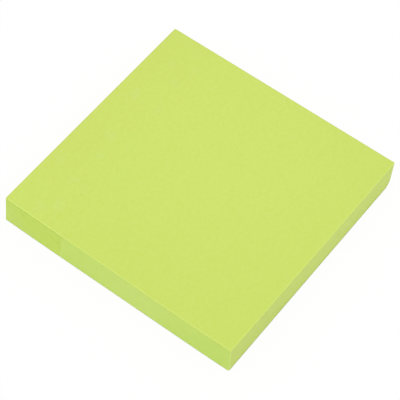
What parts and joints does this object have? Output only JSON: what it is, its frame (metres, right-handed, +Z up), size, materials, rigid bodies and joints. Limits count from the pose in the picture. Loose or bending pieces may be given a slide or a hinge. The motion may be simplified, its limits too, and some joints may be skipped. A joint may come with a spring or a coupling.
{
  "type": "sticky note pad",
  "caption": "Square block of plain sticky notes, glued along one edge, on a thin backing sheet; lies flat with the top note free to peel.",
  "frame": {"origin": "middle of the base, on the surface that the pad lies on", "axes": "+Z up through the stack, +X along the glued edge, +Y towards the glued edge"},
  "size_m": [0.076, 0.076, 0.0105],
  "materials": {
    "note_paper": "uncoated lime green note paper, cut edges a little paler",
    "backing_paper": "off-white release paper, smooth"
  },
  "bodies": {
    "root": {"note_block": "note_paper", "backing_sheet": "backing_paper"}
  },
  "joints": []
}
